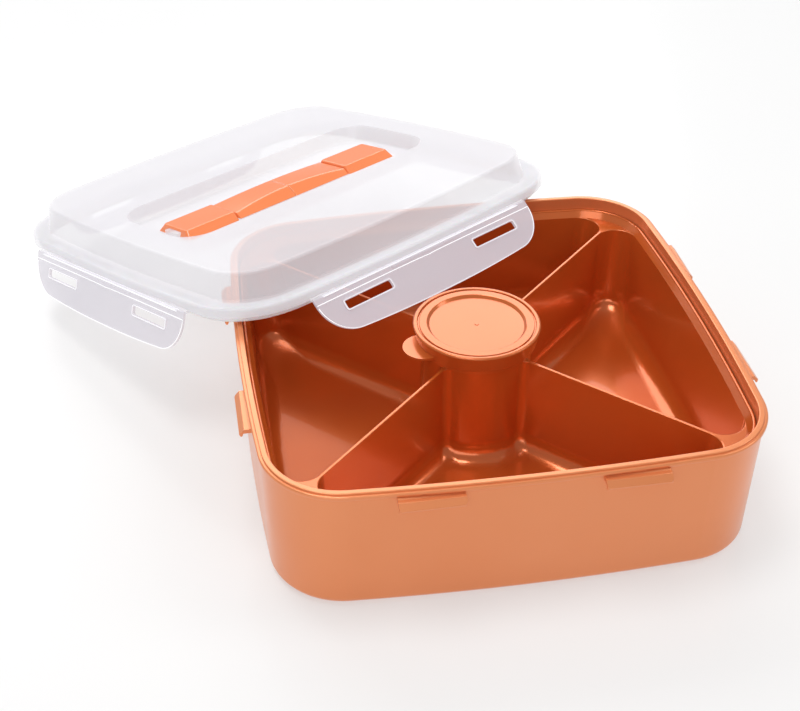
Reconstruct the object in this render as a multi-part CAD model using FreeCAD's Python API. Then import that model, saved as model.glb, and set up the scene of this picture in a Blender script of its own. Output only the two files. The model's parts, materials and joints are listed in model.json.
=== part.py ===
"""Chip and dip server: snap container, divided tray, lidded dip cup and a hinged clear lid.

Millimetres, +Z up.  The origin is the centre of the container's base on the table.  The
container, tray and cup are built square to the world.  The lid and everything on it are built
in the lid's own frame (u and v along its sides, w up through it, w = 0 at the flange's
underside) and then placed leaning on the container's rim, its rear flap down to the table.
"""
import os
import FreeCAD, Part
from math import acos, atan2, cos, degrees, pi, radians, sin, sqrt, tan

Vec = FreeCAD.Vector
UP = Vec(0, 0, 1)

# ---------------------------------------------------------------- overall sizes
rim_half = 150.0            # centre to the middle of a side, at the container's widest bead
side_radius = 1574.0        # plan radius of the gently bowed sides, at the bead
corner_radius = 47.4        # plan radius of the corners, at the bead
container_height = 85.0
turning_gap = 0.3           # between solids that turn past each other

# ---------------------------------------------------------------- container
lip_width = 3.5             # flat sealing lip on top of the wall
lip_inset = 1.9             # bead edge to the lip's outer face
lip_step = 1.15             # lip's rise above the bead
lip_round = 0.7
bead_height = 2.9
bead_round = 1.1
bead_overhang = 1.7         # bead edge to the wall just under it
base_inset = 3.0            # bead edge to the wall at the base
base_round = 5.2
floor_thickness = 2.4
foot_height = 1.2           # the floor is raised on a narrow foot ring
foot_width = 9.0
inner_floor_round = 7.0
inner_draft = 0.4           # run-in of the inner face from lip to floor

# ---------------------------------------------------------------- snap lugs, two on each side
lug_offset = 57.1           # middle of a side to the middle of a lug
lug_length = 37.2
lug_reach = 6.0             # beyond the bead
lug_ridge_reach = 3.3
lug_top_drop = 4.7          # container top to the lug's upper ridge
lug_edge_drop = 8.2         # container top to the lug's outer edge
lug_hook_drop = 9.5         # container top to the bottom of the hook
lug_shelf_drop = 7.4        # container top to the underside of the lug's shelf
lug_hook_width = 2.0
lug_end_round = 1.8

# ---------------------------------------------------------------- divided tray
tray_rim_drop = 8.0         # container top to the tray's rim
tray_rim_gap = 0.5          # tray's rim to the container's wall
tray_wall = 2.0
web_drop = 5.0              # tray's rim to the tops of the dividers
tray_shoulder = 2.6         # run-in of the wall between the rim and the divider tops
tray_floor = 2.0
divider_thickness = 1.9
well_radius = 34.5          # outer radius of the centre well, at the divider tops
well_wall = 2.0
pocket_cove = 12.0          # rounding between a pocket's walls and its floor
pocket_corner = 13.7        # vertical rounding in the acute outer corners
well_corner = 6.0           # vertical rounding where a divider meets the well
corner_growth = 0.4         # how much those two open out towards the floor
side_draft = 3.0            # degrees
divider_draft = 0.6
well_draft = 0.8
top_round = 0.45            # round along the tops of the dividers and the well
core_radius = 4.2           # hollow under each solid corner web
core_skin = 2.0
core_from_corner = 4.0      # core's edge to the tray's outer corner, at the divider tops

# ---------------------------------------------------------------- dip cup
cup_wall = 1.6
cup_fit = 0.4               # radial clearance of the cup in the well
cup_draft = 1.0             # degrees
cup_floor_gap = 1.0
cup_bottom_round = 5.0
cup_flange = 1.8            # thickness of the shoulder that sits on the well's top
collar_overhang = 1.7       # collar's radius beyond the well's
collar_height = 12.2        # well's top to the collar's top

# ---------------------------------------------------------------- cup lid
cup_lid_fit = 0.35          # radial clearance between skirt and collar
cup_lid_rise = 2.0          # collar's top to the lid's highest ring
skirt_top_wall = 3.35
skirt_low_wall = 1.45
skirt_height = 10.8
ring_bead = 3.0             # width of the crowned outer ring
ring_round = 1.3
groove_width = 0.9
groove_depth = 0.9
band_width = 5.0            # flat band between groove and recess
band_drop = 0.3
recess_slope = 1.5
recess_depth = 1.6
plate_thickness = 1.5
gate_radius = 1.4
gate_height = 0.35
tab_radius = 13.0
tab_thickness = 1.5
tab_drop = 7.2              # lid top to the tab's upper face
tab_direction = 197.0       # degrees around from +X

# ---------------------------------------------------------------- main lid
lid_overhang = 3.2          # flange edge beyond the container's bead
lid_skin = 1.8
flange_height = 6.5
flange_round = 2.3
channel_clearance = 2.3     # gasket's base to the groove's walls
rib_drop = 0.6              # groove's inner rib, below the flange's underside
foot_round = 1.5
dome_height = 24.0
dome_draft = 3.0            # total run-in of the dome's wall
dome_round = 2.6
dome_margin = 22.5          # dome's top edge to the handle recess, end to end
well_depth = 11.8
recess_draft = 3.0
recess_plan_round = 22.0
recess_floor_round = 3.0
recess_side_room = 27.0     # handle's edge to the recess wall
gasket_base = 7.6
gasket_lip = 4.6
gasket_drop = 4.5           # sealing face below the flange's underside
gasket_squeeze = 0.5        # how far the closed lid presses the gasket
gasket_shoulder = 0.4

# ---------------------------------------------------------------- flaps
flap_half = 96.0
flap_depth = 31.3           # hinge to edge at the middle
flap_bulge = 4.5            # depth lost from the middle to the ends
flap_corner = 24.3
flap_thickness = 1.6
slot_end_room = 0.9         # slot beyond the lug at each end
slot_above_lug = 0.8
slot_below_lug = 0.5
slot_round = 1.4
slot_border = 1.3
slot_border_height = 0.7
bar_half = 31.0             # thicker bar along the middle of the living hinge
bar_start = 1.3
bar_width = 2.0
bar_height = 0.8
ledge_depth = 5.0           # straight-edged ledge that carries each living hinge
front_angle = 50.0          # flaps below the lid's plane, degrees
right_angle = 60.0
left_angle = 70.0
table_gap = 0.4             # rear flap's edge above the table

# ---------------------------------------------------------------- handle
handle_end_room = 17.0      # recess wall to the end cap
cap_length = 44.5
cap_half_bottom = 19.7
cap_half_top = 14.2
cap_height = 5.6
cap_end_slope = 2.4
cap_corner = 2.5
cap_round = 1.5
tunnel_half = 12.4
tunnel_height = 3.4
tunnel_length = 16.0
notch_half = 8.2
notch_height = 3.8
notch_length = 7.0
post_gap = 0.4              # lid's post inside the cap's notch
post_length = 9.0
strap_lift = 0.5            # strap's underside above the recess floor
strap_half_bottom = 19.4
strap_half_top = 11.2
strap_crown = 6.6           # thickness at the middle
strap_end = 2.5             # thickness next to the caps
strap_to_cap = 0.6
strap_round = 0.7
grip_half = 20.0            # lid centre to the bend between grip and link
segment_gap = 0.3
tongue_length = 14.0
tongue_side_gap = 0.8

# ---------------------------------------------------------------- where the lid leans
lean_turn = 32.79           # degrees about Z, then about the lid's v and u axes
lean_pitch = 0.862
lean_roll = -11.612
lean_u = -0.4595            # container's back-left corner in the lid, as a share of its half size
lean_v = -0.1458
lean_gap = 0.1              # gasket above the container's lip

# ---------------------------------------------------------------- levels worked out from these
lid_half = rim_half + lid_overhang
lip_outer = rim_half - lip_inset
lip_inner = lip_outer - lip_width
floor_top = foot_height + floor_thickness
tray_reach = lip_inner - tray_rim_gap
tray_top = container_height - tray_rim_drop
web_top = tray_top - web_drop
pocket_floor = floor_top + tray_floor
well_inner = well_radius - well_wall
collar_radius = well_radius + collar_overhang
collar_top = web_top + collar_height
seal_line = lip_inner + lip_width / 2
dome_foot = seal_line - gasket_base / 2 - channel_clearance - lid_skin
dome_edge = dome_foot - dome_draft
recess_floor = dome_height - well_depth
recess_half_u = dome_edge - dome_margin
recess_half_v = cap_half_bottom + recess_side_room
cap_outer = recess_half_u - handle_end_room
cap_inner = cap_outer - cap_length
tongue_hinge = cap_inner - strap_to_cap
strap_bottom = recess_floor + strap_lift
hinge_reach = lid_half + turning_gap + flap_thickness / 2
hinge_level = flap_thickness / 2
slot_from = hinge_level + gasket_drop - gasket_squeeze + lug_top_drop - slot_above_lug
slot_to = hinge_level + gasket_drop - gasket_squeeze + lug_hook_drop + slot_below_lug


# ================================================================ shared geometry
def bowed_square(inset, z):
    """Wire of a square with bowed sides and round corners, a constant inset inside the bead."""
    reach = rim_half - inset
    side = side_radius - inset
    corner = corner_radius - inset
    bow = side - reach
    m = (sqrt(8 * (side - corner) ** 2 - 4 * bow ** 2) - 2 * bow) / 4
    turn = atan2(-m - bow, m)
    edges = []
    for quarter in range(4):
        c = cos(quarter * pi / 2)
        s = sin(quarter * pi / 2)

        def spot(radius, angle, x, y):
            x += radius * cos(angle)
            y += radius * sin(angle)
            return Vec(x * c - y * s, x * s + y * c, z)

        start = spot(side, -pi - turn, 0, bow)
        middle = spot(side, -pi / 2, 0, bow)
        end = spot(side, turn, 0, bow)
        if quarter:
            edges.append(Part.Arc(start, middle, end).toShape())
        else:
            edges.append(Part.Arc(middle, spot(side, turn / 2 - pi / 4, 0, bow), end).toShape())
            last = Part.Arc(start, spot(side, -3 * pi / 4 - turn / 2, 0, bow), middle).toShape()
        nose = spot(corner, -pi / 4, m, -m)
        edges.append(Part.Arc(end, nose, spot(corner, -pi / 2 - turn, m, -m)).toShape())
    return Part.Wire(edges + [last])


def profile(*steps):
    """Closed wire in the plane x = 0 from (reach, z) points; a four-number step is an arc."""
    here = first = Vec(0, -steps[0][0], steps[0][1])
    edges = []
    for step in steps[1:]:
        there = Vec(0, -step[-2], step[-1])
        if len(step) == 4:
            edges.append(Part.Arc(here, Vec(0, -step[0], step[1]), there).toShape())
        else:
            edges.append(Part.makeLine(here, there))
        here = there
    return Part.Wire(edges + [Part.makeLine(here, first)])


def arc(reach, z, radius, start, end):
    """Arc step round a centre between two angles in degrees: its middle, then its end."""
    middle = radians((start + end) / 2)
    end = radians(end)
    return (reach + radius * cos(middle), z + radius * sin(middle),
            reach + radius * cos(end), z + radius * sin(end))


def ring(wire):
    """Profile carried round the bowed square."""
    return bowed_square(0, 0).makePipeShell([wire], True, False)


def plate(reach, z_low, z_high):
    """Flat bowed-square slab."""
    slab = Part.Face(bowed_square(rim_half - reach, z_low))
    return slab.extrude(UP * (z_high - z_low))


def revolved(*steps):
    """Solid turned about Z from (radius, z) points."""
    return Part.Face(profile(*steps)).revolve(Vec(0, 0, 0), UP, 360)


def round_rectangle(x_low, x_high, half_y, z, radius):
    """Wire of a rectangle with round corners."""
    k = radius * (1 - sqrt(0.5))
    corners = ((x_high, -half_y, -1, 1), (x_high, half_y, -1, -1),
               (x_low, half_y, 1, -1), (x_low, -half_y, 1, 1))
    points = []
    for n, (x, y, dx, dy) in enumerate(corners):
        on_x = Vec(x + dx * radius, y, z)
        on_y = Vec(x, y + dy * radius, z)
        nose = Vec(x + dx * k, y + dy * k, z)
        points.append((on_y, nose, on_x) if n % 2 else (on_x, nose, on_y))
    edges = []
    for n in range(4):
        edges.append(Part.Arc(*points[n]).toShape())
        edges.append(Part.makeLine(points[n][2], points[(n + 1) % 4][0]))
    return Part.Wire(edges)


def round_block(x_low, x_high, y_low, y_high, z_low, z_high, radius):
    """Upright block with round vertical edges."""
    wire = round_rectangle(x_low, x_high, (y_high - y_low) / 2, z_low, radius)
    wire.translate(Vec(0, (y_low + y_high) / 2, 0))
    return Part.Face(wire).extrude(UP * (z_high - z_low))


def turned(shape, quarters):
    """Copy turned about Z by quarter turns."""
    copy = shape.copy()
    copy.rotate(Vec(0, 0, 0), UP, 90 * quarters)
    return copy


def single(shape):
    """The one solid in a boolean result."""
    shape = shape.removeSplitter()
    if len(shape.Solids) != 1:
        raise ValueError("expected one solid, found %d" % len(shape.Solids))
    return shape.Solids[0]


def fused(shapes):
    return single(shapes[0].multiFuse(shapes[1:]))


# ================================================================ container
def lug():
    """One snap lug on the -Y side at x = 0: a sloped shelf with a hooked outer edge."""
    top = container_height
    wall = rim_half - bead_overhang - 1.0
    ridge = rim_half + lug_ridge_reach
    edge = rim_half + lug_reach
    bead_low = top - lip_step - bead_height
    section = profile(
        (wall, bead_low),
        (rim_half - bead_round, bead_low),
        (rim_half + 0.3, top - lug_top_drop),
        (ridge - 0.6, top - lug_top_drop),
        (ridge - 0.2, top - lug_top_drop - 0.1, ridge, top - lug_top_drop - 0.4),
        (edge - 0.2, top - lug_edge_drop + 0.5),
        (edge, top - lug_edge_drop, edge - 0.1, top - lug_edge_drop - 0.5),
        (edge - lug_hook_width / 2, top - lug_hook_drop,
         edge - lug_hook_width, top - lug_hook_drop + 0.7),
        (edge - lug_hook_width - 0.5, top - lug_shelf_drop),
        (wall, top - lug_shelf_drop))
    bar = Part.Face(section).extrude(Vec(lug_length, 0, 0))
    bar.translate(Vec(-lug_length / 2, 0, 0))
    outline = round_block(-lug_length / 2, lug_length / 2, -edge - 0.1, 10 - wall,
                          top - lug_hook_drop - 1, top, lug_end_round)
    return bar.common(outline)


def container():
    top = container_height
    bead_top = top - lip_step
    bead_low = bead_top - bead_height
    base = rim_half - base_inset
    inner = lip_inner - inner_draft
    foot = base - base_round - foot_width
    section = profile(
        (rim_half - bead_overhang, bead_low),
        (rim_half - bead_round, bead_low),
        arc(rim_half - bead_round, bead_low + bead_round, bead_round, -90, 0),
        (rim_half, bead_top - bead_round),
        arc(rim_half - bead_round, bead_top - bead_round, bead_round, 0, 90),
        (lip_outer, bead_top),
        (lip_outer, top - lip_round),
        arc(lip_outer - lip_round, top - lip_round, lip_round, 0, 90),
        (lip_inner + lip_round, top),
        arc(lip_inner + lip_round, top - lip_round, lip_round, 90, 180),
        (inner, floor_top + inner_floor_round),
        arc(inner - inner_floor_round, floor_top + inner_floor_round, inner_floor_round, 0, -90),
        (foot - foot_width, floor_top),
        (foot - foot_width, foot_height),
        (foot, foot_height),
        (foot + foot_height, 0),
        (base - base_round, 0),
        arc(base - base_round, base_round, base_round, -90, 0))
    parts = [ring(section), plate(foot - foot_width, foot_height, floor_top)]
    for side in range(4):
        for offset in (-lug_offset, lug_offset):
            one = lug()
            one.translate(Vec(offset, offset ** 2 / (2 * side_radius), 0))
            parts.append(turned(one, side))
    return fused(parts)


# ================================================================ divided tray
def tray_side(z):
    """Reach of the tray's inner side face at height z."""
    low = tray_reach - tray_wall - tray_shoulder
    if z > web_top:
        return low + tray_shoulder * (z - web_top) / web_drop
    return low - (web_top - z) * tan(radians(side_draft))


def pocket_wire(z, grow):
    """Outline of the -Y pocket at height z; grow draws its walls in for the cove."""
    deep = web_top - z
    off_line = divider_thickness / 2 + deep * tan(radians(divider_draft)) + grow
    well = well_radius + deep * tan(radians(well_draft)) + grow
    reach = tray_side(z) - max(grow, 0)
    outer = side_radius - rim_half + reach
    centre = Vec(0, outer - reach, z)
    r_side = pocket_corner + corner_growth * grow
    r_well = well_corner + corner_growth * grow
    halves = []
    for hand in (1, -1):
        along = Vec(hand, -1, 0) * sqrt(0.5)
        into = Vec(-hand, -1, 0) * sqrt(0.5)
        base = into * (off_line + r_side) + Vec(0, 0, z)
        b = (base - centre).dot(along)
        c = (base - centre).Length ** 2 - (outer - r_side) ** 2
        near = base + along * (sqrt(b * b - c) - b)
        away = Vec(near.x - centre.x, near.y - centre.y, 0).normalize()
        side_nose = near + (away - into).normalize() * r_side
        off = off_line + r_well
        knee = into * off + along * sqrt((well + r_well) ** 2 - off ** 2) + Vec(0, 0, z)
        back = Vec(-knee.x, -knee.y, 0).normalize()
        well_nose = knee + (back - into).normalize() * r_well
        halves.append((near + away * r_side, side_nose, near - into * r_side,
                       knee - into * r_well, well_nose, knee + back * r_well))
    right, left = halves
    return Part.Wire([
        Part.Arc(right[0], right[1], right[2]).toShape(),
        Part.makeLine(right[2], right[3]),
        Part.Arc(right[3], right[4], right[5]).toShape(),
        Part.Arc(right[5], Vec(0, -well, z), left[5]).toShape(),
        Part.Arc(left[5], left[4], left[3]).toShape(),
        Part.makeLine(left[3], left[2]),
        Part.Arc(left[2], left[1], left[0]).toShape(),
        Part.Arc(left[0], Vec(0, -reach, z), right[0]).toShape()])


def pocket():
    """Solids that hollow out the -Y compartment: round brim, drafted walls, cove to the floor."""
    cove_top = pocket_floor + pocket_cove
    brim_low = web_top - top_round
    brim = []
    for step in range(4):
        a = radians(30 * step)
        brim.append(pocket_wire(brim_low + top_round * sin(a), -top_round * (1 - cos(a))))
    rings = []
    for step in range(7):
        a = radians(15 * step)
        rings.append(pocket_wire(cove_top - pocket_cove * sin(a), pocket_cove * (1 - cos(a))))
    walls = Part.makeLoft([brim[0], rings[0]], True, True)
    return Part.makeLoft(brim, True, False), walls, Part.makeLoft(rings, True, False)


def divided_tray():
    cove = pocket_cove + tray_wall
    foot = tray_side(floor_top + cove) + tray_wall
    core_reach = foot - cove
    half_rim = tray_wall / 2
    inset_45 = cove * (1 - sqrt(0.5))
    section = profile(
        (tray_reach, tray_top - half_rim),
        arc(tray_reach - half_rim, tray_top - half_rim, half_rim, 0, 180),
        (tray_side(web_top), web_top),
        (core_reach - 4, web_top),
        (core_reach - 4, floor_top),
        (core_reach, floor_top),
        (foot - inset_45, floor_top + inset_45, foot, floor_top + cove),
        (tray_side(web_top) + tray_wall, web_top - half_rim))
    body = fused([ring(section), plate(core_reach - 4, floor_top, web_top)])
    cuts = []
    for side in range(4):
        for solid in pocket():
            cuts.append(turned(solid, side))
    cuts.append(revolved(
        (0, pocket_floor),
        (well_inner - 1, pocket_floor),
        (well_inner, pocket_floor + 1),
        (well_inner, web_top - top_round),
        arc(well_inner + top_round, web_top - top_round, top_round, 180, 90),
        (well_inner + top_round, web_top + 1),
        (0, web_top + 1)))
    nose = bowed_square(rim_half - tray_side(web_top) - tray_wall, 0).BoundBox
    corner_at = nose.XMax - (corner_radius - rim_half + tray_side(web_top)) * (1 - sqrt(0.5))
    core_at = corner_at - (core_from_corner + core_radius) * sqrt(0.5)
    core = Part.makeCylinder(core_radius, web_top - core_skin - floor_top + 1,
                             Vec(core_at, core_at, floor_top - 1))
    for side in range(4):
        cuts.append(turned(core, side))
    return single(body.cut(cuts))


# ================================================================ dip cup and its lid
def dip_cup():
    bottom = pocket_floor + cup_floor_gap
    outer = well_inner - cup_fit
    low = outer - (web_top - bottom) * tan(radians(cup_draft))
    bend = cup_bottom_round
    inner_bend = bend - cup_wall
    shelf = web_top + cup_flange
    return revolved(
        (0, bottom),
        (low - bend, bottom),
        arc(low - bend, bottom + bend, bend, -90, 0),
        (outer, web_top),
        (collar_radius, web_top),
        (collar_radius, collar_top - 0.4),
        (collar_radius - 0.4, collar_top),
        (collar_radius - cup_wall, collar_top),
        (collar_radius - cup_wall, shelf + 1),
        (collar_radius - cup_wall - 1, shelf),
        (outer - cup_wall + 1, shelf),
        (outer - cup_wall, shelf - 1),
        (low - cup_wall, bottom + bend),
        arc(low - bend, bottom + bend, inner_bend, 0, -90),
        (0, bottom + cup_wall))


def cup_lid():
    inner = collar_radius + cup_lid_fit
    top = collar_top + cup_lid_rise
    outer = inner + skirt_top_wall
    bead_in = outer - ring_bead
    groove_in = bead_in - groove_width
    recess_out = groove_in - band_width
    band = top - band_drop
    dish = band - recess_depth
    plug = collar_radius - cup_wall - cup_lid_fit
    body = revolved(
        (inner, top - skirt_height),
        (inner + skirt_low_wall, top - skirt_height),
        (outer, top - ring_round),
        arc(outer - ring_round, top - ring_round, ring_round, 0, 90),
        (bead_in + ring_round / 2, top),
        (bead_in + 0.2, top - 0.15, bead_in, top - ring_round / 2),
        (bead_in, band - groove_depth),
        (groove_in, band - groove_depth),
        (groove_in, band - 0.3),
        (groove_in - 0.3, band),
        (recess_out + 0.3, band),
        (recess_out - 0.1, band - 0.2),
        (recess_out - recess_slope, dish),
        (gate_radius, dish),
        (gate_radius - 0.2, dish + gate_height),
        (0, dish + gate_height),
        (0, dish - plate_thickness),
        (plug, dish - plate_thickness),
        (plug, collar_top),
        (inner, collar_top))
    a = radians(tab_direction)
    middle = inner + skirt_low_wall / 2
    tab_low = top - tab_drop - tab_thickness
    tab = Part.makeCylinder(tab_radius, tab_thickness, Vec(middle * cos(a), middle * sin(a), tab_low))
    tab = tab.cut(Part.makeCylinder(inner + skirt_low_wall / 2, top, Vec(0, 0, 0)))
    return fused([body, tab])


# ================================================================ main lid, in its own frame
def recess(grow, floor):
    """The handle recess, or with grow > 0 the tub around it."""
    high = round_rectangle(-recess_half_u - grow, recess_half_u + grow, recess_half_v + grow,
                           dome_height, recess_plan_round + grow)
    low = round_rectangle(-recess_half_u - grow + recess_draft, recess_half_u + grow - recess_draft,
                          recess_half_v + grow - recess_draft, floor, recess_plan_round + grow)
    tub = Part.makeLoft([low, high], True, True)
    rim = [e for e in tub.Edges if e.BoundBox.ZMax < floor + 0.01]
    return tub.makeFillet(recess_floor_round + grow, rim)


def lid_panel():
    wall_out = dome_foot + lid_skin
    top_out = dome_edge + lid_skin
    ceiling = flange_height - lid_skin
    under = dome_height - lid_skin
    section = profile(
        (lid_half, 0),
        (lid_half, flange_height - flange_round),
        arc(lid_half - flange_round, flange_height - flange_round, flange_round, 0, 90),
        (wall_out + foot_round, flange_height),
        arc(wall_out + foot_round, flange_height + foot_round, foot_round, -90, -180),
        (top_out, dome_height - dome_round),
        arc(top_out - dome_round, dome_height - dome_round, dome_round, 0, 90),
        (dome_edge - 12, dome_height),
        (dome_edge - 12, under),
        (dome_edge - 1, under),
        (dome_edge, under - 1),
        (dome_foot, flange_height),
        (dome_foot, -rib_drop),
        (wall_out, -rib_drop),
        (wall_out, ceiling),
        (lid_half - lid_skin, ceiling),
        (lid_half - lid_skin, 0))
    parts = [ring(section), plate(dome_edge - 12, under, dome_height),
             recess(lid_skin, recess_floor - lid_skin)]
    for side in range(4):
        edge = Part.makeBox(2 * flap_half, ledge_depth, flap_thickness)
        edge.translate(Vec(-flap_half, -lid_half, 0))
        trim = Part.makeBox(2 * flap_half, ledge_depth, 2 * flap_thickness)
        trim.translate(Vec(-flap_half, lid_skin - lid_half, -flap_thickness / 2))
        parts.append(turned(edge.cut(trim), side))
    body = fused(parts).cut(recess(0, recess_floor))
    posts = []
    for hand in (0, 2):
        post = round_block(cap_outer - notch_length + post_gap, cap_outer - notch_length + post_length,
                           post_gap - notch_half, notch_half - post_gap,
                           recess_floor - lid_skin / 2, recess_floor + notch_height - post_gap, 1.2)
        posts.append(turned(post, hand))
    return fused([body] + posts)


def lid_gasket():
    base_low = -gasket_shoulder
    half_base = gasket_base / 2
    half_lip = gasket_lip / 2
    return ring(profile(
        (seal_line - half_base, flange_height - lid_skin),
        (seal_line + half_base, flange_height - lid_skin),
        (seal_line + half_base, base_low),
        (seal_line + half_lip, base_low - 1.0),
        (seal_line + half_lip, 0.8 - gasket_drop),
        arc(seal_line + half_lip - 0.8, 0.8 - gasket_drop, 0.8, 0, -90),
        (seal_line - half_lip + 0.8, -gasket_drop),
        arc(seal_line - half_lip + 0.8, 0.8 - gasket_drop, 0.8, -90, -180),
        (seal_line - half_lip, base_low - 1.0),
        (seal_line - half_base, base_low)))


def flap():
    """One flap lying straight out from the -Y side, its hinge axis on the X axis."""
    t = flap_thickness
    end_depth = flap_depth - flap_bulge
    outline = Part.Wire([
        Part.makeLine(Vec(flap_half, 0, -t / 2), Vec(-flap_half, 0, -t / 2)),
        Part.makeLine(Vec(-flap_half, 0, -t / 2), Vec(-flap_half, -end_depth, -t / 2)),
        Part.Arc(Vec(-flap_half, -end_depth, -t / 2), Vec(0, -flap_depth, -t / 2),
                 Vec(flap_half, -end_depth, -t / 2)).toShape(),
        Part.makeLine(Vec(flap_half, -end_depth, -t / 2), Vec(flap_half, 0, -t / 2))])
    body = Part.Face(outline).extrude(UP * t)
    corners = [e for e in body.Edges if e.BoundBox.ZLength > t - 0.01 and e.BoundBox.YMax < -1]
    body = body.makeFillet(flap_corner, corners)
    knuckle = Part.makeCylinder(t / 2, 2 * flap_half, Vec(-flap_half, 0, 0), Vec(1, 0, 0))
    parts = [body, knuckle]
    bar = Part.makeBox(2 * bar_half, bar_width, bar_height + t / 2)
    bar.translate(Vec(-bar_half, -bar_start - bar_width, 0))
    parts.append(bar.makeFillet(0.3, [e for e in bar.Edges if e.BoundBox.ZMin > t / 2]))
    slots = []
    half = lug_length / 2 + slot_end_room
    for offset in (-lug_offset, lug_offset):
        parts.append(round_block(offset - half - slot_border, offset + half + slot_border,
                                 -slot_to - slot_border, -slot_from + slot_border,
                                 0, t / 2 + slot_border_height, slot_round + slot_border))
        slots.append(round_block(offset - half, offset + half, -slot_to, -slot_from,
                                 -t, 2 * t, slot_round))
    return single(fused(parts).cut(slots))


def placed_flap(angle, side):
    """A flap hung below the lid's plane by an angle, on one side of the lid."""
    piece = flap()
    piece.rotate(Vec(0, 0, 0), Vec(1, 0, 0), angle)
    piece.translate(Vec(0, -hinge_reach, hinge_level))
    return turned(piece, side)


def handle_cap():
    """The +u end cap: tunnel for the strap's tongue inside, notch over the lid's post outside."""
    low = round_rectangle(cap_inner, cap_outer, cap_half_bottom, recess_floor, cap_corner)
    high = round_rectangle(cap_inner, cap_outer - cap_end_slope, cap_half_top,
                           recess_floor + cap_height, cap_corner)
    body = Part.makeLoft([low, high], True, True)
    crown = [e for e in body.Edges if e.BoundBox.ZMin > recess_floor + cap_height - 0.01]
    body = body.makeFillet(cap_round, crown)
    tunnel = Part.makeBox(tunnel_length + 1, 2 * tunnel_half, tunnel_height + 1)
    tunnel.translate(Vec(cap_inner - 1, -tunnel_half, recess_floor - 1))
    notch = round_block(cap_outer - notch_length, cap_outer + 4, -notch_half, notch_half,
                        recess_floor - 1, recess_floor + notch_height, 1.6)
    return single(body.cut([tunnel, notch]))


def strap():
    """The whole strap between the caps, arched on top, before it is divided at its bends."""
    end = tongue_hinge - segment_gap / 2
    sections = []
    for share in (-1, -0.5, 0, 0.5, 1):
        u = share * end
        top = strap_bottom + strap_crown - (strap_crown - strap_end) * share ** 2
        sections.append(Part.makePolygon([Vec(u, -strap_half_bottom, strap_bottom),
                                          Vec(u, strap_half_bottom, strap_bottom),
                                          Vec(u, strap_half_top, top),
                                          Vec(u, -strap_half_top, top),
                                          Vec(u, -strap_half_bottom, strap_bottom)]))
    body = Part.makeLoft(sections, True, False)
    ridges = [e for e in body.Edges if e.BoundBox.XLength > end and e.BoundBox.ZMax > strap_bottom + 1]
    return body.makeFillet(strap_round, ridges)


def strap_slice(u_low, u_high):
    window = Part.makeBox(u_high - u_low, 80, 40)
    window.translate(Vec(u_low, -40, strap_bottom - 5))
    return single(strap().common(window))


def handle_tongue():
    """The +u tongue that slides inside the cap's tunnel."""
    half = tunnel_half - tongue_side_gap
    start = tongue_hinge + segment_gap / 2
    return round_block(start, start + tongue_length, -half, half,
                       strap_bottom, strap_bottom + strap_end - 0.1, 0.5)


# ================================================================ the lid's lean
def lean():
    """Pose of the lid: turned and tilted, then set down until its gasket meets the lip."""
    turn = FreeCAD.Rotation(lean_turn, lean_pitch, lean_roll)
    back = turn.inverted()
    corner = Vec(-rim_half, rim_half, container_height)
    origin = corner - turn.multVec(Vec(lean_u * lid_half, lean_v * lid_half, 0))
    seal = bowed_square(rim_half - seal_line, 0)
    lip = bowed_square(rim_half - seal_line, container_height)
    reach = (gasket_lip + lip_width) / 2
    highest = -container_height
    for point in lip.discretize(500):
        local = back.multVec(point - origin)
        if Part.Vertex(local.x, local.y, 0).distToShape(seal)[0] < reach:
            highest = max(highest, local.z)
    lift = turn.multVec(UP) * (highest + gasket_drop + lean_gap)
    return FreeCAD.Placement(origin + lift, turn)


def rear_angle(pose):
    """Angle that hangs the rear flap straight down, or less if the table is too close."""
    hinge = pose.multVec(Vec(0, hinge_reach, hinge_level)).z - table_gap
    forward = pose.Rotation.multVec(Vec(0, 1, 0)).z
    upward = pose.Rotation.multVec(UP).z
    plumb = degrees(atan2(upward, -forward))
    return plumb - degrees(acos(min(1.0, hinge / flap_depth)))


def build():
    pose = lean()
    cap = handle_cap()
    link = strap_slice(grip_half + segment_gap / 2, tongue_hinge)
    tongue = handle_tongue()
    on_lid = {
        "lid_panel": lid_panel(),
        "lid_gasket": lid_gasket(),
        "flap_front": placed_flap(front_angle, 0),
        "flap_right": placed_flap(right_angle, 1),
        "flap_rear": placed_flap(rear_angle(pose), 2),
        "flap_left": placed_flap(left_angle, 3),
        "handle_cap_left": turned(cap, 2),
        "handle_cap_right": cap,
        "handle_grip": strap_slice(segment_gap / 2 - grip_half, grip_half - segment_gap / 2),
        "handle_link_left": turned(link, 2),
        "handle_link_right": link,
        "handle_tongue_left": turned(tongue, 2),
        "handle_tongue_right": tongue,
    }
    nodes = {
        "container": container(),
        "divided_tray": divided_tray(),
        "dip_cup": dip_cup(),
        "cup_lid": cup_lid(),
    }
    for name, shape in on_lid.items():
        shape = shape.copy()
        shape.Placement = pose.multiply(shape.Placement)
        nodes[name] = shape
    return nodes


os.makedirs("parts", exist_ok=True)
for name, shape in build().items():
    shape.exportStep("parts/%s.step" % name)
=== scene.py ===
import json
import math
import bmesh
import bpy
from mathutils import Matrix, Vector


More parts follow.
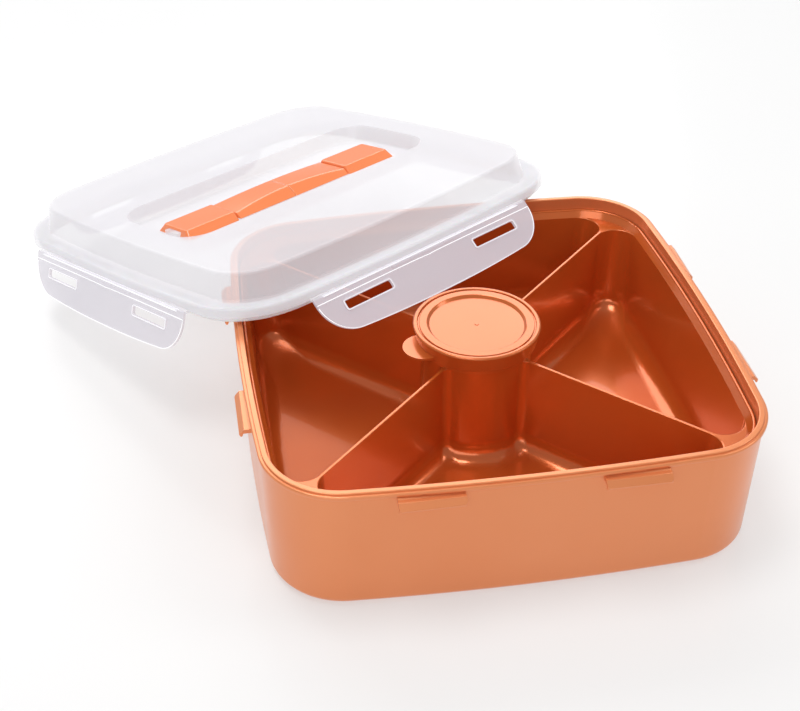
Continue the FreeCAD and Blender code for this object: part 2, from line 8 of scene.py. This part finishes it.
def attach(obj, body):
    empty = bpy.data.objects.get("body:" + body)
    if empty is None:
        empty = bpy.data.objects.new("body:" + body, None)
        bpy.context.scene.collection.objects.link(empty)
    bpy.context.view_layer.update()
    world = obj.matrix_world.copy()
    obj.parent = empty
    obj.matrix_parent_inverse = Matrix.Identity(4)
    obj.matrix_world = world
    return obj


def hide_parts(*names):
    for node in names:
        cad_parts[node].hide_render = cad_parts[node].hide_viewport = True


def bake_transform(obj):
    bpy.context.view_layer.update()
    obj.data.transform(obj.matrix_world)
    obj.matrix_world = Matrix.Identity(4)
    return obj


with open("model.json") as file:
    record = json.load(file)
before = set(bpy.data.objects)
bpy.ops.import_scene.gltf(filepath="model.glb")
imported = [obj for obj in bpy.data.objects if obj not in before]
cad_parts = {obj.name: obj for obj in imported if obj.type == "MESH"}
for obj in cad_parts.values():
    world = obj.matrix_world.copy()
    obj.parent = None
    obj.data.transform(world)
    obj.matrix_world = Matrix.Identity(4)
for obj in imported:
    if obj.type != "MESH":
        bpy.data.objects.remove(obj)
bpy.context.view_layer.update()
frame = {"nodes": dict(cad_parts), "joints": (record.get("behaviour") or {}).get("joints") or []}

MM = 0.001
SIDES = ("front", "right", "rear", "left")
nodes = frame["nodes"]
joints = {j["name"]: j for j in frame["joints"]}


# ------------------------------------------------------------------ shader helpers
def srgb(r, g, b):
    """Linear colour from 0-255 display values."""
    def one(c):
        c /= 255
        return c / 12.92 if c <= 0.04045 else ((c + 0.055) / 1.055) ** 2.4
    return one(r), one(g), one(b), 1.0


class Shader:
    """Small builder for one material's node tree."""

    def __init__(self, name):
        self.material = bpy.data.materials.new(name)
        self.material.use_nodes = True
        self.tree = self.material.node_tree
        self.bsdf = self.tree.nodes["Principled BSDF"]
        self.coords = self.add("ShaderNodeTexCoord").outputs["Object"]

    def add(self, kind, **settings):
        node = self.tree.nodes.new(kind)
        for key, value in settings.items():
            setattr(node, key, value)
        return node

    def link(self, a, b):
        self.tree.links.new(a, b)

    def set(self, **values):
        for key, value in values.items():
            self.bsdf.inputs[key.replace("_", " ")].default_value = value

    def noise(self, scale, detail=3.0, rough=0.5):
        node = self.add("ShaderNodeTexNoise")
        node.inputs["Scale"].default_value = scale
        node.inputs["Detail"].default_value = detail
        node.inputs["Roughness"].default_value = rough
        self.link(self.coords, node.inputs["Vector"])
        return node.outputs["Fac"]

    def span(self, value, low, high, out_low, out_high):
        node = self.add("ShaderNodeMapRange", clamp=True)
        for key, number in (("From Min", low), ("From Max", high),
                            ("To Min", out_low), ("To Max", out_high)):
            node.inputs[key].default_value = number
        self.link(value, node.inputs["Value"])
        return node.outputs["Result"]

    def mix(self, factor, a, b, blend="MIX"):
        node = self.add("ShaderNodeMix", data_type="RGBA", blend_type=blend)
        if isinstance(factor, float):
            node.inputs["Factor"].default_value = factor
        else:
            self.link(factor, node.inputs["Factor"])
        for key, value in (("A", a), ("B", b)):
            socket = [s for s in node.inputs if s.name == key and s.type == "RGBA"][0]
            if isinstance(value, tuple):
                socket.default_value = value
            else:
                self.link(value, socket)
        return [s for s in node.outputs if s.type == "RGBA"][0]

    def math(self, operation, a, b):
        node = self.add("ShaderNodeMath", operation=operation, use_clamp=True)
        for n, value in enumerate((a, b)):
            if isinstance(value, float):
                node.inputs[n].default_value = value
            else:
                self.link(value, node.inputs[n])
        return node.outputs["Value"]

    def bump(self, height, strength, distance):
        node = self.add("ShaderNodeBump")
        node.inputs["Strength"].default_value = strength
        node.inputs["Distance"].default_value = distance
        self.link(height, node.inputs["Height"])
        return node.outputs["Normal"]


def moulded(name, colour, pale, rough, subsurface=0.0, grain=1.0, clear=0.0, pearl=0.0):
    """Injection-moulded plastic: faint flow mottling, pearl pigment, a gloss that varies, orange peel."""
    s = Shader(name)
    flow = s.noise(16.0, 2.0, 0.5)
    tone = s.mix(s.span(flow, 0.1, 0.9, 0.0, 0.5), colour, pale)
    s.link(tone, s.bsdf.inputs["Base Color"])
    smudge = s.noise(38.0, 2.0, 0.5)
    s.link(s.span(smudge, 0.0, 1.0, rough - 0.05, rough + 0.07), s.bsdf.inputs["Roughness"])
    s.set(IOR=1.49, Subsurface_Weight=subsurface, Subsurface_Radius=(0.006, 0.0022, 0.0008),
          Subsurface_Scale=1.0, Coat_Weight=clear, Coat_Roughness=0.05,
          Metallic=pearl)
    peel = s.noise(300.0, 2.0, 0.5)
    s.link(s.bump(peel, 0.07 * grain, 0.00012), s.bsdf.inputs["Normal"])
    return s.material


def frosted(name, colour, white, alpha, rough, painted_glow):
    """Frosted translucent plastic: milky body, satin gloss, fine etched texture, denser when seen edge on,
    and a painted glow.
    """
    s = Shader(name)
    cloud = s.noise(9.0, 3.0, 0.5)
    s.link(s.mix(s.span(cloud, 0.3, 0.7, 0.0, 0.4), colour, white), s.bsdf.inputs["Base Color"])
    facing = s.add("ShaderNodeLayerWeight")
    facing.inputs["Blend"].default_value = 0.25
    dense = s.span(facing.outputs["Facing"], 0.0, 1.0, alpha, min(1.0, alpha + 0.22))
    s.link(s.math("ADD", dense, s.span(cloud, 0.3, 0.7, 0.0, 0.015)), s.bsdf.inputs["Alpha"])
    s.link(s.span(s.noise(14.0, 2.0, 0.5), 0.3, 0.75, rough - 0.02, rough + 0.03), s.bsdf.inputs["Roughness"])
    # Painted light: a white emission glow lifts the frosted plastic everywhere, shaded walls included,
    # standing in for light passing through it.
    s.set(IOR=1.45, Emission_Color=(0.95, 0.94, 0.96, 1.0), Emission_Strength=painted_glow)
    etched = s.noise(1500.0, 2.0, 0.6)
    s.link(s.bump(etched, 0.12, 0.00005), s.bsdf.inputs["Normal"])
    return s.material


def dress(node, material):
    obj = nodes[node]
    obj.data.materials.clear()
    obj.data.materials.append(material)


# ------------------------------------------------------------------ materials
# The container's pale peach base colour is partly its own orange and partly a painted sheen: the bright
# surroundings' reflection on its outer walls is painted into it.
shell = moulded("container_orange", srgb(232, 138, 84), srgb(238, 152, 102), 0.30, clear=0.25, pearl=0.36)
insert = moulded("tray_orange", srgb(208, 100, 38), srgb(218, 116, 54), 0.19, clear=0.40, pearl=0.42)
cup_orange = moulded("cup_orange", srgb(206, 102, 42), srgb(216, 118, 58), 0.22, clear=0.40, pearl=0.40)
handle_orange = moulded("handle_orange", srgb(246, 132, 74), srgb(250, 150, 98), 0.24, grain=1.2, clear=0.40)
# The last number of each frosted material is its painted glow: an emission standing in for light passing
# through the plastic.
clear = frosted("frosted_lid", srgb(186, 184, 189), srgb(194, 193, 196), 0.42, 0.24, 0.37)
flap_clear = frosted("frosted_flap", srgb(178, 172, 184), srgb(188, 184, 193), 0.45, 0.24, 0.31)
seal = moulded("seal_white", srgb(236, 236, 238), srgb(244, 244, 246), 0.50, 0.2, 2.0)
rim_white = frosted("rim_white", srgb(212, 212, 214), srgb(220, 220, 222), 0.90, 0.22, 0.48)
hinge_white = frosted("hinge_white", srgb(205, 205, 210), srgb(212, 212, 216), 0.80, 0.22, 0.45)

dress("container", shell)
dress("divided_tray", insert)
dress("dip_cup", cup_orange)
dress("cup_lid", cup_orange)
dress("lid_panel", clear)
dress("lid_gasket", seal)
for side in SIDES:
    dress("flap_" + side, flap_clear)
for node in nodes:
    if node.startswith("handle"):
        dress(node, handle_orange)


# ------------------------------------------------------------------ new meshes
def mesh_piece(name, points, faces, material):
    """New object with outward faces: smooth quads and flat end caps."""
    data = bpy.data.meshes.new(name)
    data.from_pydata([tuple(p) for p in points], [], faces)
    work = bmesh.new()
    work.from_mesh(data)
    bmesh.ops.recalc_face_normals(work, faces=work.faces)
    work.to_mesh(data)
    work.free()
    data.materials.append(material)
    for polygon in data.polygons:
        polygon.use_smooth = len(polygon.vertices) == 4
    piece = bpy.data.objects.new(name, data)
    bpy.context.scene.collection.objects.link(piece)
    return piece


def rounded_ring(corners, steps=5):
    """Closed outline from (x, y, reach) corners, each rounded by a curve that starts reach away."""
    ring = []
    for n, (x, y, reach) in enumerate(corners):
        here = Vector((x, y))
        before = Vector(corners[n - 1][:2])
        after = Vector(corners[(n + 1) % len(corners)][:2])
        a = here + (before - here).normalized() * reach
        b = here + (after - here).normalized() * reach
        for step in range(steps + 1):
            t = step / steps
            ring.append(a * (1 - t) ** 2 + here * 2 * t * (1 - t) + b * t ** 2)
    return ring


def skin(rings, closed=False):
    """Quads between successive rings of equal length: a closed loop, or a length with flat ends."""
    count = len(rings[0])
    points = [p for ring in rings for p in ring]
    faces = []
    for r in range(len(rings) if closed else len(rings) - 1):
        first, second = r * count, (r + 1) % len(rings) * count
        for n in range(count):
            m = (n + 1) % count
            faces.append((first + n, first + m, second + m, second + n))
    if not closed:
        faces.append(tuple(reversed(range(count))))
        faces.append(tuple(range((len(rings) - 1) * count, len(rings) * count)))
    return points, faces


# ------------------------------------------------------------------ carry strap in two halves, with a tongue at each end carried by the lid
link_left = Vector(joints["link_left_bend"]["pos_m"])
link_right = Vector(joints["link_right_bend"]["pos_m"])
w_axis = Vector(joints["grip_rise"]["axis"]).normalized()
v_axis = Vector(joints["link_right_bend"]["axis"]).normalized()
u_axis = v_axis.cross(w_axis)
strap_middle = (link_left + link_right) / 2
link_u = (link_right - strap_middle).dot(u_axis)
LINK_LENGTH = 30.85 * MM
CROWN = 6.6 * MM            # thickness at the middle
END = 3.6 * MM              # thickness next to the caps
HALF_BOTTOM = 19.4 * MM
HALF_TOP = 11.2 * MM        # at the middle
SIDE_SLOPE = (HALF_BOTTOM - HALF_TOP) / CROWN
BOTTOM_ROUND = 0.4 * MM
TOP_ROUND = 1.1 * MM
TONGUE_HALF = 11.6 * MM
TONGUE_THICK = 2.4 * MM
TONGUE_LENGTH = 13.5 * MM
SHOULDER_FROM = 0.6 * MM    # where the strap starts to narrow, before the tongue
SHOULDER_LENGTH = 1.0 * MM
STATION_STEP = 1.0 * MM
SLEEVE_LENGTH = 1.5 * MM
SLEEVE_SCALE = 0.97
tongue_u = link_u + LINK_LENGTH
strap_end = tongue_u + TONGUE_LENGTH
stub_end = tongue_u + 0.2 * MM
tongue_start = tongue_u + 0.5 * MM


def strap_point(u, v, w):
    return strap_middle + u_axis * u + v_axis * v + w_axis * w


def strap_ring(u, scale=1.0):
    """Cross-section of the strap: a crowned bar that narrows to a flat tongue inside each cap."""
    share = min(abs(u) / tongue_u, 1.0)
    top = CROWN - (CROWN - END) * share ** 2
    narrow = min(max((abs(u) - tongue_u + SHOULDER_FROM) / SHOULDER_LENGTH, 0.0), 1.0)
    bottom_half = HALF_BOTTOM + (TONGUE_HALF - HALF_BOTTOM) * narrow
    top_half = HALF_BOTTOM - SIDE_SLOPE * top
    top_half += (TONGUE_HALF - top_half) * narrow
    top += (TONGUE_THICK - top) * narrow
    bevel = min(TOP_ROUND, 0.4 * top)
    outline = rounded_ring([(-bottom_half, 0, BOTTOM_ROUND), (bottom_half, 0, BOTTOM_ROUND),
                            (top_half, top, bevel), (-top_half, top, bevel)])
    centre = Vector((0, top / 2))
    outline = [centre + (p - centre) * scale for p in outline]
    return [strap_point(u, p.x, p.y) for p in outline]


def strap_length(name, u_low, u_high, stands_for, sleeve=False):
    """One length of the strap along u; a sleeve reaches a little way inside the length before it."""
    count = max(2, round((u_high - u_low) / STATION_STEP))
    stations = [u_low + (u_high - u_low) * n / count for n in range(count + 1)]
    shoulder = [tongue_u - SHOULDER_FROM + SHOULDER_LENGTH * n / 2 for n in range(3)]
    extra = [side * u for side in (-1, 1) for u in shoulder]
    stations = sorted(stations + [u for u in extra if u_low < u < u_high])
    rings = [strap_ring(u) for u in stations]
    if sleeve:
        rings = [strap_ring(u_low - SLEEVE_LENGTH, SLEEVE_SCALE), strap_ring(u_low, SLEEVE_SCALE)] + rings
    piece = mesh_piece(name, *skin(rings), handle_orange)
    for node in stands_for:
        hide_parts(node)
    return piece


for side, sign, nodes_replaced in (("left", -1, ["handle_link_left", "handle_grip"]),
                                   ("right", 1, ["handle_link_right"])):
    half = strap_length("strap_" + side, min(0, sign * stub_end), max(0, sign * stub_end),
                        nodes_replaced, sleeve=sign > 0)
    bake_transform(half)
    tongue = strap_length("strap_tongue_" + side, min(sign * tongue_start, sign * strap_end),
                          max(sign * tongue_start, sign * strap_end), ["handle_tongue_" + side])
    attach(tongue, "lid")


# ------------------------------------------------------------------ living hinges between lid and flaps
WEB_HALF = 88.0 * MM
WEB_REACH = 1.6 * MM        # to each side of the hinge line
WEB_RISE = 0.25 * MM        # half the web's thickness
WEB_ROUND = 0.1 * MM
RIM_RADIUS = 0.42 * MM
RIM_INSET = 0.45 * MM       # bead's middle to the edge it runs along
RIM_FROM = 3.2 * MM         # hinge line to where the bead along the edge starts
RIM_LIFT = 0.6 * MM         # bead's middle above the hinge line's level
SLOT_LIFT = 1.1 * MM
SLOT_OFFSET = 57.1 * MM
SLOT_HALF = 19.5 * MM
SLOT_FROM = 8.7 * MM
SLOT_TO = 14.8 * MM
SLOT_ROUND = 1.6 * MM
EDGE_STEP = 2.5 * MM


def hinge_web(side):
    """Thin web the flap turns on: a flat strip along the hinge line, between the lid's ledge and the flap's
    edge.
    """
    joint = joints["flap_%s_hinge" % side]
    pivot = Vector(joint["pos_m"])
    along = Vector(joint["axis"]).normalized()
    out = along.cross(w_axis).normalized()
    outline = rounded_ring([(-WEB_REACH, -WEB_RISE, WEB_ROUND), (WEB_REACH, -WEB_RISE, WEB_ROUND),
                            (WEB_REACH, WEB_RISE, WEB_ROUND), (-WEB_REACH, WEB_RISE, WEB_ROUND)], 2)
    rings = []
    for n in range(41):
        a = WEB_HALF * (n / 20 - 1)
        rings.append([pivot + along * a + out * p.x + w_axis * p.y for p in outline])
    piece = mesh_piece("hinge_web_" + side, *skin(rings), hinge_white)
    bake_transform(piece)


def tube(points, radius, closed, sides=8):
    """Round bead along a line of points."""
    count = len(points)
    rings = []
    for n, here in enumerate(points):
        before = points[n - 1] if n or closed else here
        after = points[(n + 1) % count] if n < count - 1 or closed else here
        run = (after - before).normalized()
        across = run.cross(w_axis + v_axis * 0.01).normalized()
        over = run.cross(across)
        rings.append([here + (across * math.cos(t) + over * math.sin(t)) * radius
                      for t in (2 * math.pi * k / sides for k in range(sides))])
    return skin(rings, closed)


def outline_of(points):
    """Convex outline of flat points, anticlockwise."""
    points = sorted(set((round(x, 5), round(y, 5)) for x, y in points))
    halves = []
    for run in (points, points[::-1]):
        half = []
        for q in run:
            while len(half) > 1 and ((half[-1][0] - half[-2][0]) * (q[1] - half[-2][1])
                                     - (half[-1][1] - half[-2][1]) * (q[0] - half[-2][0])) <= 0:
                half.pop()
            half.append(q)
        halves.append(half[:-1])
    return halves[0] + halves[1]


def flap_rims(side):
    """Beads moulded along a flap's free edge and around its two slots, white and dense, and brightened
    further by their painted glow.
    """
    joint = joints["flap_%s_hinge" % side]
    pivot = Vector(joint["pos_m"])
    along = Vector(joint["axis"]).normalized()
    points = [v.co - pivot for v in nodes["flap_" + side].data.vertices]
    far = sorted(points, key=lambda q: (q - along * q.dot(along)).length)[-6:]
    down = sum(far, Vector())
    down = (down - along * down.dot(along)).normalized()
    normal = along.cross(down).normalized()
    if normal.dot(w_axis) < 0:
        normal = -normal
    edge = outline_of([(q.dot(along), q.dot(down)) for q in points])
    edge = [q for q in edge if q[1] > RIM_FROM]
    start = min(range(len(edge)), key=lambda n: edge[n][0])
    edge = edge[start:] + edge[:start]
    line = []
    for n, (a, d) in enumerate(edge[:-1]):
        b, e = edge[n + 1]
        pieces = max(1, int(math.hypot(b - a, e - d) / EDGE_STEP))
        line += [Vector((a + (b - a) * k / pieces, d + (e - d) * k / pieces)) for k in range(pieces)]
    line.append(Vector(edge[-1]))
    inside = Vector((0.0, 8 * MM))
    line = [q + (inside - q).normalized() * RIM_INSET for q in line]
    shapes = [("flap_rim_", line, False, RIM_LIFT)]
    low, high = SLOT_FROM - RIM_INSET, SLOT_TO + RIM_INSET
    for name, centre in (("slot_rim_a_", -SLOT_OFFSET), ("slot_rim_b_", SLOT_OFFSET)):
        left, right = centre - SLOT_HALF - RIM_INSET, centre + SLOT_HALF + RIM_INSET
        ring = rounded_ring([(left, low, SLOT_ROUND), (right, low, SLOT_ROUND),
                             (right, high, SLOT_ROUND), (left, high, SLOT_ROUND)], 4)
        shapes.append((name, ring, True, SLOT_LIFT))
    for name, flat, closed, lift in shapes:
        bead = [pivot + along * q.x + down * q.y + normal * lift for q in flat]
        piece = mesh_piece(name + side, *tube(bead, RIM_RADIUS, closed), rim_white)
        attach(piece, "flap_" + side)


for side in SIDES:
    hinge_web(side)
    flap_rims(side)


# ------------------------------------------------------------------ camera at the photograph's angle
AZIMUTH = -0.1313
ELEVATION = 0.6341
ROLL = -0.0227
DISTANCE = 0.9715
TARGET = Vector((-0.06767, 0.08346, 0.0))
FOCAL = 62.17
SHIFT = (0.0593, 0.0126)

back = Vector((math.sin(AZIMUTH) * math.cos(ELEVATION), -math.cos(AZIMUTH) * math.cos(ELEVATION),
               math.sin(ELEVATION)))
right = (-back).cross(Vector((0, 0, 1))).normalized()
up = right.cross(-back)
right, up = (right * math.cos(ROLL) + up * math.sin(ROLL), up * math.cos(ROLL) - right * math.sin(ROLL))
place = Matrix((right, up, back)).transposed().to_4x4()
place.translation = TARGET + back * DISTANCE
camera = bpy.data.objects.new("camera", bpy.data.cameras.new("camera"))
bpy.context.scene.collection.objects.link(camera)
camera.matrix_world = place
camera.data.sensor_width = 36.0
camera.data.lens = FOCAL
camera.data.shift_x, camera.data.shift_y = SHIFT
camera.data.clip_start = 0.05
camera.data.clip_end = 50.0
bpy.context.scene.camera = camera


# ------------------------------------------------------------------ floor and light
def panel(name, size, location, target, power, colour=(1, 1, 1)):
    light = bpy.data.lights.new(name, "AREA")
    light.shape = "RECTANGLE"
    light.size, light.size_y = size
    light.energy = power
    light.color = colour
    obj = bpy.data.objects.new(name, light)
    bpy.context.scene.collection.objects.link(obj)
    obj.location = location
    obj.rotation_euler = (Vector(target) - Vector(location)).to_track_quat("-Z", "Y").to_euler()
    return obj


floor_mesh = bpy.data.meshes.new("floor")
floor_mesh.from_pydata([(-4, -4, 0), (4, -4, 0), (4, 4, 0), (-4, 4, 0)], [], [(0, 1, 2, 3)])
floor = bpy.data.objects.new("floor", floor_mesh)
bpy.context.scene.collection.objects.link(floor)
floor.location.z = -0.0004
f = Shader("pale_floor")
f.link(f.mix(f.span(f.noise(1.5, 2.0), 0.3, 0.7, 0.0, 1.0), (0.44, 0.44, 0.44, 1), (0.46, 0.46, 0.46, 1)),
       f.bsdf.inputs["Base Color"])
f.set(Roughness=0.20, IOR=1.22, Emission_Color=(1, 1, 1, 1), Emission_Strength=0.45)
floor_mesh.materials.append(f.material)

world = bpy.data.worlds.new("studio")
bpy.context.scene.world = world
world.use_nodes = True
world.node_tree.nodes["Background"].inputs["Color"].default_value = (1, 1, 1, 1)
world.node_tree.nodes["Background"].inputs["Strength"].default_value = 0.46
# The wide rear softbox is what the level faces mirror; the small ones draw glints along the coves.
panel("rear_softbox", (2.6, 1.4), (-0.2, 2.1, 1.55), (0, 0, 0.05), 32)
panel("top_softbox", (0.7, 0.6), (-0.35, 0.1, 1.7), (0, 0, 0), 9.5)
panel("right_softbox", (0.5, 0.9), (1.2, -0.1, 1.3), (0, 0, 0), 5)
panel("front_softbox", (1.4, 0.9), (-0.7, -1.6, 1.1), (0, 0, 0.05), 8)
bpy.context.scene.view_settings.view_transform = "Standard"
